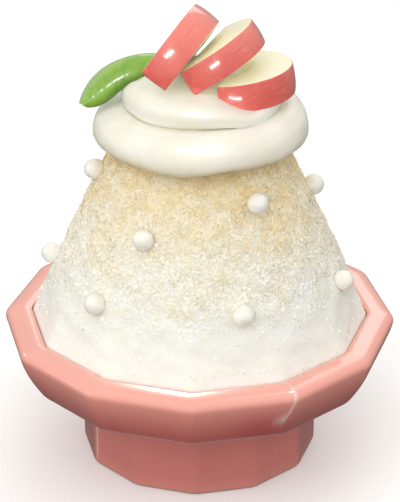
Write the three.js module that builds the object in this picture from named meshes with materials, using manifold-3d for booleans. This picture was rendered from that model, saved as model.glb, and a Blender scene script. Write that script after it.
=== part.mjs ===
// A shaved ice dessert in a twelve-sided glazed bowl. Syrup-tinted ice is heaped over the rim and
// dotted with rice-dough pearls. Two piped turns of whipped cream sit on top of it and carry three
// half-moon slices of apple and a green leaf.
//
// Millimetres, +Z up, origin on the ground under the middle of the foot. An azimuth is measured
// from the front (-Y) towards +X.

import * as THREE from 'three';
import { mergeVertices } from 'three/addons/utils/BufferGeometryUtils.js';
import Module from 'manifold-3d';

const manifold = await Module();
manifold.setup();

const DEG = Math.PI / 180;
const TURN = 2 * Math.PI;
const FIT_GAP = 0.3; // left between two pieces that touch

// ---------------------------------------------------------------- driving dimensions

// Bowl: a thick wall with a broad rounded rim, on a straight round-cornered foot
const BOWL_SIDES = 12;
const BOWL_TURN = -2.2 * DEG; // azimuth of the corner nearest the front
const BOWL_CORNER_ROUND = 9;
const RIM_RADIUS = 75.3; // over the corners, as all the bowl's radii
const RIM_WIDTH = 10.3;
const RIM_TOP = 56.6;
const RIM_LIP_DROP = 3.8; // the rim rounds over this far down its outside
const RIM_LIP_REACH = 8.4; // and this far in over its top
const RIM_INNER_ROUND = 0.8;
const WALL_FOOT_RADIUS = 67; // where the wall turns under the bowl
const WALL_FOOT_HEIGHT = 35.8;
const WALL_BULGE_RADIUS = 73.6; // control point of the wall's gentle curve
const WALL_BULGE_HEIGHT = 45.2;
const WALL_TURN_RADIUS = 65; // control point of the turn from the wall to the belly
const BELLY_RADIUS = 61;
const BELLY_HEIGHT = 33; // underside between wall and foot
const BELLY_FILLET_WIDTH = 4;
const BELLY_FILLET_HEIGHT = 3;
const FOOT_RADIUS = 45.6;
const FOOT_ROUND = 1.5;
const FOOT_RECESS_RADIUS = 38;
const FOOT_RECESS_DEPTH = 2;
const FOOT_RECESS_FLARE = 1;
const CAVITY_FLOOR = 15;
const CAVITY_WELL_RADIUS = 33; // the part that goes down into the foot
const CAVITY_WELL_ROUND = 9;
const CAVITY_THROAT_RADIUS = 36; // control point between the well and the shelf above it
const CAVITY_THROAT_HEIGHT = 38;
const CAVITY_SHELF_RADIUS = 46;
const CAVITY_SHELF_HEIGHT = 39;
const CAVITY_WALL_RADIUS = 62; // control point between the shelf and the rim
const CAVITY_WALL_HEIGHT = 41;

// Ice: a cone with bulging sides that fills the bowl and tapers up to the cream
const ICE_BASE_HEIGHT = 55.4; // where it leaves the bowl's wall
const ICE_BASE_RADIUS = 64.6;
const ICE_TOP_HEIGHT = 129.4;
const ICE_TOP_ROUND = 1;
const ICE_TOP_CROWN = 0.2;
const ICE_TAPER = 0.455; // radius lost for each millimetre of height
const ICE_SIDE_BULGE = 1.1; // at half height
const ICE_ROUND_HEIGHT = 78; // the twelve corners have faded out by here
const ICE_RELIEF = 0.22;
// Its waves: depth, waves round the heap, twist in radians a millimetre of height, and phase
const ICE_WAVES = [[0.5, 5, 0.54, 0], [0.5, 13, -0.12, 0], [0.6, 17, -0.43, 1.3], [0.5, 13, 0.71, 1.571]];
const ICE_RELIEF_FOOT = [2, 10]; // heights over the bowl between which the relief sets in
const ICE_RELIEF_HEAD = [9, 3]; // depths under the top between which it fades out

// Cream: a broad lower turn and a smaller domed one that hangs over it, each a little uneven
const CREAM_BOTTOM = 129.9;
const LOWER_TURN_RADIUS = 40.3;
const LOWER_TURN_WIDEST = 133;
const LOWER_TURN_SAG = 0.3;
const LOWER_TURN_SHIFT = 0.9; // both turns lie a little off centre, towards +X
const LOWER_TURN_LIP = 34.2; // inner edge of the part that hangs clear of the ice
const LOWER_TURN_SIDE = 5; // its side ends this far under the crease
const LOWER_TURN_TOP = 2.5; // and its top starts this far out from halfway to the crease
const LOWER_TURN_LEAN = 0.4; // it is this much lower at -X and higher at +X
const CREASE_RADIUS = 27.4; // valley between the two turns
const CREASE_HEIGHT = 143.5;
const CREASE_RISE = 0.6;
const UPPER_TURN_RADIUS = 30.3;
const UPPER_TURN_WIDEST = 148;
const UPPER_TURN_SHIFT = 1.8;
const UPPER_TURN_LEAN = 1.1;
const SHOULDER_RADIUS = 23;
const SHOULDER_HEIGHT = 153.4;
const SHOULDER_ROUND = 1.8;
const CREAM_TOP = 159.6;
const CREAM_TOP_DROP = 3.2; // from the top to the control point halfway out to the shoulder
const SWAY = [[0.35, 3, 0.6], [0.25, 5, 2]]; // depth, waves round the cream, and phase
const SEAM_AZIMUTH = 3 * DEG; // where the lower turn starts and ends
const SEAM_STEP = 0.9;
const SEAM_SPREAD = 14 * DEG;
const CLIMB_AZIMUTH = 200 * DEG; // where the cream climbs from one turn to the next
const CLIMB_STEP = 2.4;
const CLIMB_SPREAD = 30 * DEG;
const STEP_SCALE = 1.65; // makes a step's highest point 1, one spread from its middle
const SLICE_BANK = { x: -11, y: 5, rise: 3.5, spread: 6 }; // cream heaped under the steepest slice
const SLICE_HOLLOW = { x: 18, y: -20, rise: -4, spread: 7.5 }; // pressed down by the flattest
const SLICE_PRESS_DEPTH = 3; // over which the two fade in above the crease

// Apple slices: half-moons with skin round the arc and a shallow core scoop in both faces
const SLICE_RADIUS = 20.9;
const SLICE_SKIN_BULGE = 0.4;
const SLICE_EDGE_ROUND = 0.4;
const CORE_HALF_LENGTH = 12.5; // along the straight side
const CORE_REACH = 7;
const CORE_DEPTH = 1.1;
const CORE_FLAT = 0.35; // part of the scoop's reach that is at full depth
// middle: centre of the straight side. heading: of that side, from +Y towards +X. tilt: its rise.
// roll: how steeply the arc stands up from level.
const SLICES = [
  { middle: [-9.4, -1.0, 160.7], thickness: 10.9, heading: 19.8, tilt: 4.2, roll: 56.3 },
  { middle: [4.1, 0.3, 159.3], thickness: 9.9, heading: 23.5, tilt: 4.5, roll: 33.4 },
  { middle: [14.3, 0.1, 150.9], thickness: 10.8, heading: 20.1, tilt: -1.1, roll: 7.8 },
];

// Leaf: arched over the side of the cream, folded along its rib, the front half hanging down
const LEAF_RIB = [[-10, 4, 159], [-24.8, 3, 163], [-35.8, 3, 156.4], [-43.6, -3.2, 143.4]];
const LEAF_THICKNESS = 1.0;
const LEAF_FRONT_WIDTH = 10.1;
const LEAF_BACK_WIDTH = 7.8;
const LEAF_WIDEST = 0.47; // part of its length
const LEAF_STALK_ROUND = 2; // how bluntly its outline closes at the stalk and at the tip
const LEAF_TIP_ROUND = 4;
const LEAF_END_TRIM = 0.008; // part of its length left off both ends, where it would be a point
const LEAF_FRONT_SLOPE = [5, 88]; // degrees down from level, at the rib and at the edge
const LEAF_BACK_SLOPE = [-8, 31];
const LEAF_BACK_TWIST = 15; // the back half drops by this much more towards the tip
const LEAF_BACK_WAVE = 9; // and waves by this much on the way

// Pearls: pressed into the ice, each given by azimuth in degrees and height of its spot
const PEARL_RADIUS = 4;
const PEARL_STAND_OFF = 1.6; // of its centre from the ice
const PEARL_SPOTS = [
  [17, 80.5], [72, 77], [33, 116], [95, 107], [126, 93], [150, 113], [170, 76],
  [193, 99], [218, 83], [228, 112], [266, 78], [273, 116], [317, 79], [333, 104.5],
];

const FINISHES = {
  glaze: { color: 0xd98e84, roughness: 0.25 },
  ice: { color: 0xf6efdf, roughness: 0.9 },
  cream: { color: 0xfaf6ea, roughness: 0.45 },
  apple: { color: 0xe8706a, roughness: 0.3 },
  leaf: { color: 0x8fb84e, roughness: 0.4 },
  pearl: { color: 0xf6efe6, roughness: 0.5 },
};

// ---------------------------------------------------------------- helpers

const lerp = THREE.MathUtils.lerp;
const smoothstep = THREE.MathUtils.smoothstep;
const vector = (list) => new THREE.Vector3(...list);

/** The point at a radius, azimuth and height. */
function polar(radius, azimuth, z) {
  return new THREE.Vector3(radius * Math.sin(azimuth), -radius * Math.cos(azimuth), z);
}

/**
 * A closed surface through rings of equally many points, shut by a fan to a point at each end.
 * Rings run anticlockwise seen from the last pole, so that the faces point out.
 */
function loft(firstPole, rings, lastPole) {
  const count = rings[0].length;
  const points = [firstPole, ...rings.flat(), lastPole];
  const lastIndex = points.length - 1;
  const at = (ring, k) => 1 + ring * count + (k % count);
  const triangles = [];
  for (let k = 0; k < count; k++) {
    triangles.push(0, at(0, k + 1), at(0, k));
    for (let ring = 0; ring + 1 < rings.length; ring++) {
      triangles.push(at(ring, k), at(ring, k + 1), at(ring + 1, k + 1));
      triangles.push(at(ring, k), at(ring + 1, k + 1), at(ring + 1, k));
    }
    triangles.push(at(rings.length - 1, k), at(rings.length - 1, k + 1), lastIndex);
  }
  const geometry = new THREE.BufferGeometry().setFromPoints(points);
  geometry.setIndex(triangles);
  return geometry;
}

function solidFrom(geometry) {
  const bare = geometry.clone();
  bare.deleteAttribute('normal');
  bare.deleteAttribute('uv');
  const merged = mergeVertices(bare);
  return new manifold.Manifold(new manifold.Mesh({
    numProp: 3,
    vertProperties: new Float32Array(merged.attributes.position.array),
    triVerts: new Uint32Array(merged.index.array),
  }));
}

function geometryFrom(solid) {
  const mesh = solid.getMesh();
  const geometry = new THREE.BufferGeometry();
  geometry.setAttribute('position', new THREE.BufferAttribute(mesh.vertProperties, 3));
  geometry.setIndex(new THREE.BufferAttribute(mesh.triVerts, 1));
  return geometry;
}

/** The first geometry with the others cut out of it. */
function cutOut(geometry, tools) {
  let solid = solidFrom(geometry);
  for (const tool of tools) {
    solid = solid.subtract(solidFrom(tool));
  }
  return geometryFrom(solid);
}

const object = new THREE.Group();

function addPart(name, geometry, finish) {
  geometry.computeVertexNormals();
  const material = new THREE.MeshStandardMaterial({ ...finish, metalness: 0 });
  const mesh = new THREE.Mesh(geometry, material);
  mesh.name = name;
  object.add(mesh);
}

// ---------------------------------------------------------------- bowl

/** A ring of the bowl's twelve-sided shape; fade 1 turns it into a circle. */
function sidedRing(radius, z, { fade = 0, flatPoints = 0 } = {}) {
  const halfSide = Math.PI / BOWL_SIDES;
  const round = Math.min(BOWL_CORNER_ROUND, radius / 2);
  const hub = radius - round / Math.cos(halfSide);
  const ring = [];
  for (let side = 0; side < BOWL_SIDES; side++) {
    const corner = BOWL_TURN + side * 2 * halfSide;
    const around = [-1, 0, 1].map((turn) => (
      polar(hub, corner, z).add(polar(round, corner + turn * halfSide, 0))
    ));
    const nextStart = polar(hub, corner + 2 * halfSide, z).add(polar(round, corner + halfSide, 0));
    ring.push(...around);
    for (let k = 1; k <= flatPoints; k++) {
      ring.push(around[2].clone().lerp(nextStart, k / (flatPoints + 1)));
    }
  }
  for (const point of ring) {
    const full = radius / Math.hypot(point.x, point.y);
    const scale = lerp(1, full, fade);
    point.x *= scale;
    point.y *= scale;
  }
  return ring;
}

/** The cavity as [radius, height] points from the floor's middle up to the rim. */
function cavityOutline(gap = 0) {
  const well = CAVITY_WELL_RADIUS - gap;
  const throat = CAVITY_THROAT_RADIUS - gap;
  const shelf = CAVITY_SHELF_RADIUS - gap;
  const top = RIM_RADIUS - RIM_WIDTH - gap;
  const path = new THREE.Path();
  path.moveTo(0, CAVITY_FLOOR + gap);
  path.lineTo(well - CAVITY_WELL_ROUND, CAVITY_FLOOR + gap);
  path.quadraticCurveTo(well, CAVITY_FLOOR + gap, well, CAVITY_FLOOR + CAVITY_WELL_ROUND);
  path.quadraticCurveTo(throat, CAVITY_THROAT_HEIGHT, shelf, CAVITY_SHELF_HEIGHT + gap);
  path.quadraticCurveTo(CAVITY_WALL_RADIUS - gap, CAVITY_WALL_HEIGHT, top, ICE_BASE_HEIGHT);
  return path.getPoints(3);
}

function bowl() {
  const rimInside = RIM_RADIUS - RIM_WIDTH;
  const path = new THREE.Path();
  path.moveTo(0, FOOT_RECESS_DEPTH);
  path.lineTo(FOOT_RECESS_RADIUS, FOOT_RECESS_DEPTH);
  path.lineTo(FOOT_RECESS_RADIUS + FOOT_RECESS_FLARE, 0);
  path.lineTo(FOOT_RADIUS - FOOT_ROUND, 0);
  path.quadraticCurveTo(FOOT_RADIUS, 0, FOOT_RADIUS, FOOT_ROUND);
  path.lineTo(FOOT_RADIUS, BELLY_HEIGHT - BELLY_FILLET_HEIGHT);
  path.quadraticCurveTo(FOOT_RADIUS, BELLY_HEIGHT, FOOT_RADIUS + BELLY_FILLET_WIDTH, BELLY_HEIGHT);
  path.lineTo(BELLY_RADIUS, BELLY_HEIGHT);
  path.quadraticCurveTo(WALL_TURN_RADIUS, BELLY_HEIGHT, WALL_FOOT_RADIUS, WALL_FOOT_HEIGHT);
  path.quadraticCurveTo(WALL_BULGE_RADIUS, WALL_BULGE_HEIGHT, RIM_RADIUS, RIM_TOP - RIM_LIP_DROP);
  path.quadraticCurveTo(RIM_RADIUS, RIM_TOP, RIM_RADIUS - RIM_LIP_REACH, RIM_TOP);
  path.lineTo(rimInside + RIM_INNER_ROUND, RIM_TOP);
  path.quadraticCurveTo(rimInside, RIM_TOP, rimInside, RIM_TOP - RIM_INNER_ROUND);
  const outline = [...path.getPoints(3), ...cavityOutline().reverse()];
  const rings = outline.slice(1, -1).map((p) => sidedRing(p.x, p.y));
  return loft(new THREE.Vector3(0, 0, outline[0].y), rings, new THREE.Vector3(0, 0, CAVITY_FLOOR));
}

// ---------------------------------------------------------------- ice and pearls

/** The heap's radius at a height above the bowl, without its relief. */
function iceRadius(z) {
  const rise = z - ICE_BASE_HEIGHT;
  const part = rise / (ICE_TOP_HEIGHT - ICE_BASE_HEIGHT);
  return ICE_BASE_RADIUS - ICE_TAPER * rise + 4 * ICE_SIDE_BULGE * part * (1 - part);
}

/** Soft lumps in the heap, none where it meets the bowl or the cream. */
function iceRelief(azimuth, z) {
  let lumps = 0;
  for (const [depth, waves, twist, phase] of ICE_WAVES) {
    lumps += depth * Math.sin(waves * azimuth + twist * z + phase);
  }
  const [footLow, footHigh] = ICE_RELIEF_FOOT.map((rise) => ICE_BASE_HEIGHT + rise);
  const [headLow, headHigh] = ICE_RELIEF_HEAD.map((depth) => ICE_TOP_HEIGHT - depth);
  const fade = smoothstep(z, footLow, footHigh) * (1 - smoothstep(z, headLow, headHigh));
  return ICE_RELIEF * fade * lumps;
}

function ice() {
  const flatPoints = 2;
  const inBowl = cavityOutline(FIT_GAP).slice(1).map((p) => sidedRing(p.x, p.y, { flatPoints }));
  const rows = 20;
  const heap = [];
  for (let row = 1; row <= rows; row++) {
    const z = lerp(ICE_BASE_HEIGHT, ICE_TOP_HEIGHT, row / rows);
    const fade = smoothstep(z, ICE_BASE_HEIGHT, ICE_ROUND_HEIGHT);
    const ring = sidedRing(iceRadius(z), z, { fade, flatPoints });
    for (const point of ring) {
      const azimuth = Math.atan2(point.x, -point.y);
      point.add(polar(iceRelief(azimuth, z), azimuth, 0));
    }
    heap.push(ring);
  }
  const topRadius = iceRadius(ICE_TOP_HEIGHT) - ICE_TOP_ROUND;
  const topHeight = ICE_TOP_HEIGHT + ICE_TOP_CROWN;
  const topRing = sidedRing(topRadius, topHeight, { fade: 1, flatPoints });
  const floor = new THREE.Vector3(0, 0, CAVITY_FLOOR + FIT_GAP);
  const top = new THREE.Vector3(0, 0, topHeight);
  return loft(floor, [...inBowl, ...heap, topRing], top);
}

function pearl([azimuthDegrees, z], radius = PEARL_RADIUS) {
  const azimuth = azimuthDegrees * DEG;
  const lean = Math.atan(ICE_TAPER);
  const place = polar(iceRadius(z) + PEARL_STAND_OFF * Math.cos(lean), azimuth, 0);
  place.z = z + PEARL_STAND_OFF * Math.sin(lean);
  return new THREE.SphereGeometry(radius, 9, 6).translate(place.x, place.y, place.z);
}

// ---------------------------------------------------------------- cream

/** A step down on one side of an azimuth and up on the other, that fades out both ways. */
function step(azimuth, middle, spread) {
  let off = (azimuth - middle) % TURN;
  if (off > Math.PI) off -= TURN;
  if (off < -Math.PI) off += TURN;
  const part = off / spread;
  return STEP_SCALE * part * Math.exp(-part * part / 2);
}

/** The cream's outline at an azimuth, from the middle of its underside to its top. */
function creamOutline(azimuth) {
  const right = Math.sin(azimuth);
  const seam = SEAM_STEP * step(azimuth, SEAM_AZIMUTH, SEAM_SPREAD);
  const climb = CLIMB_STEP * step(azimuth, CLIMB_AZIMUTH, CLIMB_SPREAD);
  let sway = 0;
  for (const [depth, waves, phase] of SWAY) {
    sway += depth * Math.sin(waves * azimuth + phase);
  }
  const side = UPPER_TURN_SHIFT * right;
  const lowerLift = LOWER_TURN_LEAN * right + seam;
  const upperLift = UPPER_TURN_LEAN * right + climb / 2;

  const rest = iceRadius(ICE_TOP_HEIGHT) - ICE_TOP_ROUND;
  const low = CREAM_BOTTOM + lowerLift;
  const outer = LOWER_TURN_RADIUS + LOWER_TURN_SHIFT * right + sway;
  const crease = CREASE_RADIUS + side;
  const creaseHeight = CREASE_HEIGHT + upperLift + sway / 2;
  const topStart = (outer + crease) / 2 + LOWER_TURN_TOP;
  const upper = UPPER_TURN_RADIUS + side + sway / 2;
  const upperWidest = UPPER_TURN_WIDEST + upperLift;
  const shoulder = SHOULDER_RADIUS + side;
  const shoulderSide = SHOULDER_HEIGHT - SHOULDER_ROUND + climb / 2;

  const path = new THREE.Path();
  path.moveTo(0, CREAM_BOTTOM);
  path.lineTo(rest, CREAM_BOTTOM);
  path.lineTo(LOWER_TURN_LIP, low);
  path.quadraticCurveTo(outer, low - LOWER_TURN_SAG, outer, LOWER_TURN_WIDEST + lowerLift);
  path.bezierCurveTo(outer, creaseHeight - LOWER_TURN_SIDE, topStart, creaseHeight, crease, creaseHeight);
  path.quadraticCurveTo(upper, creaseHeight + CREASE_RISE, upper, upperWidest);
  path.quadraticCurveTo(upper, shoulderSide, shoulder, SHOULDER_HEIGHT + climb / 3);
  path.quadraticCurveTo(shoulder / 2, CREAM_TOP - CREAM_TOP_DROP, 0, CREAM_TOP);
  return path.getPoints(4);
}

/** How far the slices have pushed the upper turn up or down at a point. */
function creamRise({ x, y, z }) {
  const share = smoothstep(z, CREASE_HEIGHT, CREASE_HEIGHT + SLICE_PRESS_DEPTH);
  const rises = [SLICE_BANK, SLICE_HOLLOW].map((spot) => (
    spot.rise * Math.exp(-((x - spot.x) ** 2 + (y - spot.y) ** 2) / (2 * spot.spread ** 2))
  ));
  return share * (rises[0] + rises[1]);
}

function cream() {
  const columns = 52;
  const outlines = [];
  for (let column = 0; column < columns; column++) {
    const azimuth = (column / columns) * TURN;
    const outline = creamOutline(azimuth).map((p) => polar(p.x, azimuth, p.y));
    outline.forEach((point) => { point.z += creamRise(point); });
    outlines.push(outline);
  }
  const last = outlines[0].length - 1;
  const rings = [];
  for (let row = 1; row < last; row++) {
    rings.push(outlines.map((outline) => outline[row]));
  }
  return loft(outlines[0][0], rings, outlines[0][last]);
}

// ---------------------------------------------------------------- apple slices

/** Depth of the core scoop at a point of a slice's face, given along and out from its straight side. */
function coreDip(along, out) {
  const reach = Math.hypot(along / CORE_HALF_LENGTH, out / CORE_REACH);
  return CORE_DEPTH * (1 - smoothstep(reach, CORE_FLAT, 1));
}

/** A half-moon lying in its own frame: straight side along X, arc towards +Y, thick along Z. */
function halfMoon(thickness, grow) {
  const half = thickness / 2 + grow;
  const arcSteps = 14;
  const sideSteps = 6;
  const outlineAt = (radius) => {
    const points = [];
    for (let k = 0; k < arcSteps; k++) {
      const angle = (k / arcSteps) * Math.PI;
      points.push([radius * Math.cos(angle), radius * Math.sin(angle)]);
    }
    for (let k = 0; k < sideSteps; k++) {
      points.push([lerp(-radius, radius, k / sideSteps), 0]);
    }
    return points;
  };
  const face = (scale, sign) => outlineAt(SLICE_RADIUS - SLICE_EDGE_ROUND).map(([x, y]) => {
    const along = x * scale;
    const out = lerp(CORE_REACH / 2, y, scale);
    return new THREE.Vector3(along, out - grow, sign * (half - coreDip(along, out) * (grow ? 0 : 1)));
  });
  const skin = (level) => outlineAt(SLICE_RADIUS + SLICE_SKIN_BULGE * (1 - level * level) + grow)
    .map(([x, y]) => new THREE.Vector3(x, y - grow, level * (half - SLICE_EDGE_ROUND)));
  const scales = [0.3, 0.6, 0.85, 1];
  const rings = [
    ...scales.map((scale) => face(scale, -1)),
    ...[-1, -0.4, 0.4, 1].map(skin),
    ...scales.reverse().map((scale) => face(scale, 1)),
  ];
  const dip = grow ? 0 : coreDip(0, CORE_REACH / 2);
  const pole = (sign) => new THREE.Vector3(0, CORE_REACH / 2 - grow, sign * (half - dip));
  return loft(pole(-1), rings, pole(1));
}

/** A slice in its place; grow widens it all round. */
function appleSlice({ middle, thickness, heading, tilt, roll }, grow = 0) {
  const along = new THREE.Vector3(
    Math.cos(tilt * DEG) * Math.sin(heading * DEG),
    Math.cos(tilt * DEG) * Math.cos(heading * DEG),
    Math.sin(tilt * DEG),
  );
  const level = along.clone().cross(new THREE.Vector3(0, 0, 1)).normalize();
  const raised = level.clone().cross(along);
  const bulge = level.clone().multiplyScalar(Math.cos(roll * DEG))
    .addScaledVector(raised, Math.sin(roll * DEG));
  const across = along.clone().cross(bulge);
  const frame = new THREE.Matrix4().makeBasis(along, bulge, across).setPosition(...middle);
  return halfMoon(thickness, grow).applyMatrix4(frame);
}

// ---------------------------------------------------------------- leaf

/** The rib's point and the leaf's directions there, at a part 0 to 1 of its length. */
function leafFrame(part) {
  const rib = new THREE.CubicBezierCurve3(...LEAF_RIB.map(vector));
  const point = rib.getPoint(part);
  const tangent = rib.getTangent(part);
  const front = new THREE.Vector3(0, 0, 1).cross(tangent).normalize();
  const up = tangent.clone().cross(front);
  return { point, tangent, front, up };
}

/** The leaf's width at a part of its length, as a share of the most. */
function leafBreadth(part) {
  const along = lerp(LEAF_END_TRIM, 1 - LEAF_END_TRIM, part);
  const [room, roundness] = along < LEAF_WIDEST
    ? [LEAF_WIDEST, LEAF_STALK_ROUND]
    : [1 - LEAF_WIDEST, LEAF_TIP_ROUND];
  return Math.sqrt(1 - (Math.abs(along - LEAF_WIDEST) / room) ** roundness);
}

/** One point of the leaf's mid-surface: across runs from -1, the back edge, to 1, the front edge. */
function leafPoint(part, across) {
  const { point, front, up } = leafFrame(part);
  const isFront = across > 0;
  const twist = isFront ? 0 : LEAF_BACK_TWIST * part + LEAF_BACK_WAVE * Math.sin(TURN * part);
  const [ribSlope, edgeSlope] = isFront ? LEAF_FRONT_SLOPE : LEAF_BACK_SLOPE;
  const width = (isFront ? LEAF_FRONT_WIDTH : LEAF_BACK_WIDTH) * leafBreadth(part);
  const steps = 8;
  const stride = (width * Math.abs(across)) / steps;
  for (let k = 0; k < steps; k++) {
    const share = ((k + 0.5) / steps) * Math.abs(across);
    const slope = (lerp(ribSlope, edgeSlope, share) + twist) * DEG;
    point.addScaledVector(front, Math.sign(across) * stride * Math.cos(slope));
    point.addScaledVector(up, -stride * Math.sin(slope));
  }
  return point;
}

/** One cross-section of the leaf as a ring: its lower face, then its upper face back again. */
function leafRing(part, half, grow) {
  const { tangent } = leafFrame(part);
  const columns = [-1, -0.75, -0.5, -0.25, 0, 0.25, 0.5, 0.75, 1];
  const middle = columns.map((across) => leafPoint(part, across));
  const last = middle.length - 1;
  const upper = [];
  const lower = [];
  middle.forEach((point, k) => {
    const before = middle[Math.max(k - 1, 0)];
    const after = middle[Math.min(k + 1, last)];
    const sideways = after.clone().sub(before).normalize();
    const out = tangent.clone().cross(sideways);
    const isEdge = k === 0 || k === last;
    const base = point.clone().addScaledVector(sideways, isEdge ? Math.sign(k - 1) * grow : 0);
    upper.push(base.clone().addScaledVector(out, half));
    lower.push(base.clone().addScaledVector(out, -half));
  });
  return [...lower, ...upper.reverse()];
}

/** The leaf, both faces split alike and more closely towards its ends; grow widens it all round. */
function leaf(grow = 0) {
  const half = LEAF_THICKNESS / 2 + grow;
  const lengthSteps = 14;
  const rings = [];
  for (let row = 0; row <= lengthSteps; row++) {
    const part = (1 - Math.cos((Math.PI * row) / lengthSteps)) / 2;
    rings.push(leafRing(part, half, grow));
  }
  for (const [ring, part, sign] of [[rings[0], 0, -1], [rings[lengthSteps], 1, 1]]) {
    for (const point of ring) {
      point.addScaledVector(leafFrame(part).tangent, sign * grow);
    }
  }
  const centre = (ring) => (
    ring.reduce((sum, p) => sum.add(p), new THREE.Vector3()).divideScalar(ring.length)
  );
  return loft(centre(rings[0]), rings, centre(rings[lengthSteps]));
}

// ---------------------------------------------------------------- the dessert

const pearlSockets = PEARL_SPOTS.map((spot) => pearl(spot, PEARL_RADIUS + FIT_GAP));
const sliceSeats = SLICES.map((slice) => appleSlice(slice, FIT_GAP));

addPart('bowl', bowl(), FINISHES.glaze);
addPart('ice', cutOut(ice(), pearlSockets), FINISHES.ice);
addPart('cream', cutOut(cream(), [...sliceSeats, leaf(FIT_GAP)]), FINISHES.cream);
SLICES.forEach((slice, k) => {
  addPart(`apple_slice_${k + 1}`, appleSlice(slice), FINISHES.apple);
});
addPart('leaf', leaf(), FINISHES.leaf);
PEARL_SPOTS.forEach((spot, k) => {
  addPart(`pearl_${k + 1}`, pearl(spot), FINISHES.pearl);
});

export default object;
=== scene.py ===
"""The looks of a shaved ice dessert: syrup-tinted ice in a twelve-sided glazed bowl, dotted with
rice-dough pearls and topped with two turns of whipped cream, three slices of apple and a leaf.

Sizes are in millimetres and become metres in add_piece(). An azimuth is measured from the front
(-Y) towards +X, and the origin is on the ground under the middle of the bowl's foot.
"""

import math

import bpy
import numpy as np
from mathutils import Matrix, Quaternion, Vector, noise


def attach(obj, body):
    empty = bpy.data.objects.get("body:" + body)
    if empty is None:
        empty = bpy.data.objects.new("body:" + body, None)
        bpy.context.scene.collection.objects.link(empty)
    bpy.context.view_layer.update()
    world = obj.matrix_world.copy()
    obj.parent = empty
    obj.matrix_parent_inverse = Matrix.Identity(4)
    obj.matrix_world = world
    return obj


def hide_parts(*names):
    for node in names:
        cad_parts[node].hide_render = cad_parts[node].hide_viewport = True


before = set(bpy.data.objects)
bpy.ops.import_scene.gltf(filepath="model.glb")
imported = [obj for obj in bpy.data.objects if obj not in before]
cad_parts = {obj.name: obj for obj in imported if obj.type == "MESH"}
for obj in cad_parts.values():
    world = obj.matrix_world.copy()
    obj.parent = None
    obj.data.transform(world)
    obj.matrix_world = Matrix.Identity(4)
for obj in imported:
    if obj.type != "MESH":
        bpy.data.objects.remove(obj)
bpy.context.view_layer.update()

MM = 0.001
random = np.random.default_rng(7)

# ---- sizes shared with the solids

# Bowl; its radii are over the corners, and a pair is a radius and a height
BOWL_SIDES = 12
HALF_SIDE = math.pi / BOWL_SIDES
BOWL_TURN = math.radians(-2.2)
BOWL_CORNER_ROUND = 9
RIM_RADIUS = 75.3
RIM_WIDTH = 10.3
RIM_TOP = 56.6
LIP_DROP = 3.8
LIP_REACH = 8.4
RIM_CROWN_END = (0.5, 0.35)  # in from the rim's inner face and down from its top
RIM_CROWN_EASE = 1.5
RIM_INNER_CORNER = 0.4
RIM_INNER_DROP = 0.9
WALL_FOOT = (67, 35.8)
WALL_BULGE = (73.6, 45.2)
WALL_TURN_RADIUS = 65
BELLY_RADIUS = 61
BELLY_HEIGHT = 33
BELLY_FILLET = (4, 3)
FOOT_RADIUS = 45.6
FOOT_ROUND = 2
FOOT_RECESS = (38, 2)
FOOT_RECESS_FLARE = 0.2
FOOT_RING_INSIDE = 39.6
CAVITY_FLOOR = 15
CAVITY_WELL_RADIUS = 33
CAVITY_WELL_ROUND = 9
CAVITY_THROAT = (36, 38)
CAVITY_SHELF = (46, 39)
CAVITY_WALL = (62, 41)

# Ice
ICE_BASE_HEIGHT = 55.4
ICE_BASE_RADIUS = 64.6
ICE_TOP_HEIGHT = 129.4
ICE_TOP_ROUND = 1
ICE_TOP_CROWN = 0.2
ICE_TAPER = 0.455
ICE_SIDE_BULGE = 1.1
ICE_ROUND_HEIGHT = 78
ICE_RELIEF = 0.22
# Depth, waves round the heap, twist in radians a millimetre of height, and phase
ICE_WAVES = [(0.5, 5, 0.54, 0), (0.5, 13, -0.12, 0), (0.6, 17, -0.43, 1.3), (0.5, 13, 0.71, 1.571)]
ICE_RELIEF_FOOT = (2, 10)  # heights over the bowl between which the relief sets in
ICE_RELIEF_HEAD = (9, 3)  # depths under the top between which it fades out
FIT_GAP = 0.3

# Cream
CREAM_BOTTOM = 129.9
LOWER_TURN_RADIUS = 40.3
LOWER_TURN_WIDEST = 133
LOWER_TURN_SAG = 0.3
LOWER_TURN_SHIFT = 0.9
LOWER_TURN_LIP = 34.2
LOWER_TURN_SIDE = 5
LOWER_TURN_TOP = 2.5
LOWER_TURN_LEAN = 0.4
CREASE_RADIUS = 27.4
CREASE_HEIGHT = 143.5
CREASE_RISE = 0.6
UPPER_TURN_RADIUS = 30.3
UPPER_TURN_WIDEST = 148
UPPER_TURN_SHIFT = 1.8
UPPER_TURN_LEAN = 1.1
SHOULDER_RADIUS = 23
SHOULDER_HEIGHT = 153.4
SHOULDER_ROUND = 1.8
CREAM_TOP = 159.6
CREAM_TOP_DROP = 3.2
SWAY = [(0.35, 3, 0.6), (0.25, 5, 2)]  # depth, waves round the cream, and phase
SEAM_AZIMUTH = math.radians(3)
SEAM_STEP = 0.9
SEAM_SPREAD = math.radians(14)
CLIMB_AZIMUTH = math.radians(200)
CLIMB_STEP = 2.4
CLIMB_SPREAD = math.radians(30)
STEP_SCALE = 1.65  # makes a step's highest point 1
CREAM_FLAT_STEPS = 3
SLICE_BANK = {"x": -11, "y": 5, "rise": 3.5, "spread": 6}
SLICE_HOLLOW = {"x": 18, "y": -20, "rise": -4, "spread": 7.5}
SLICE_PRESS_DEPTH = 3

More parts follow.
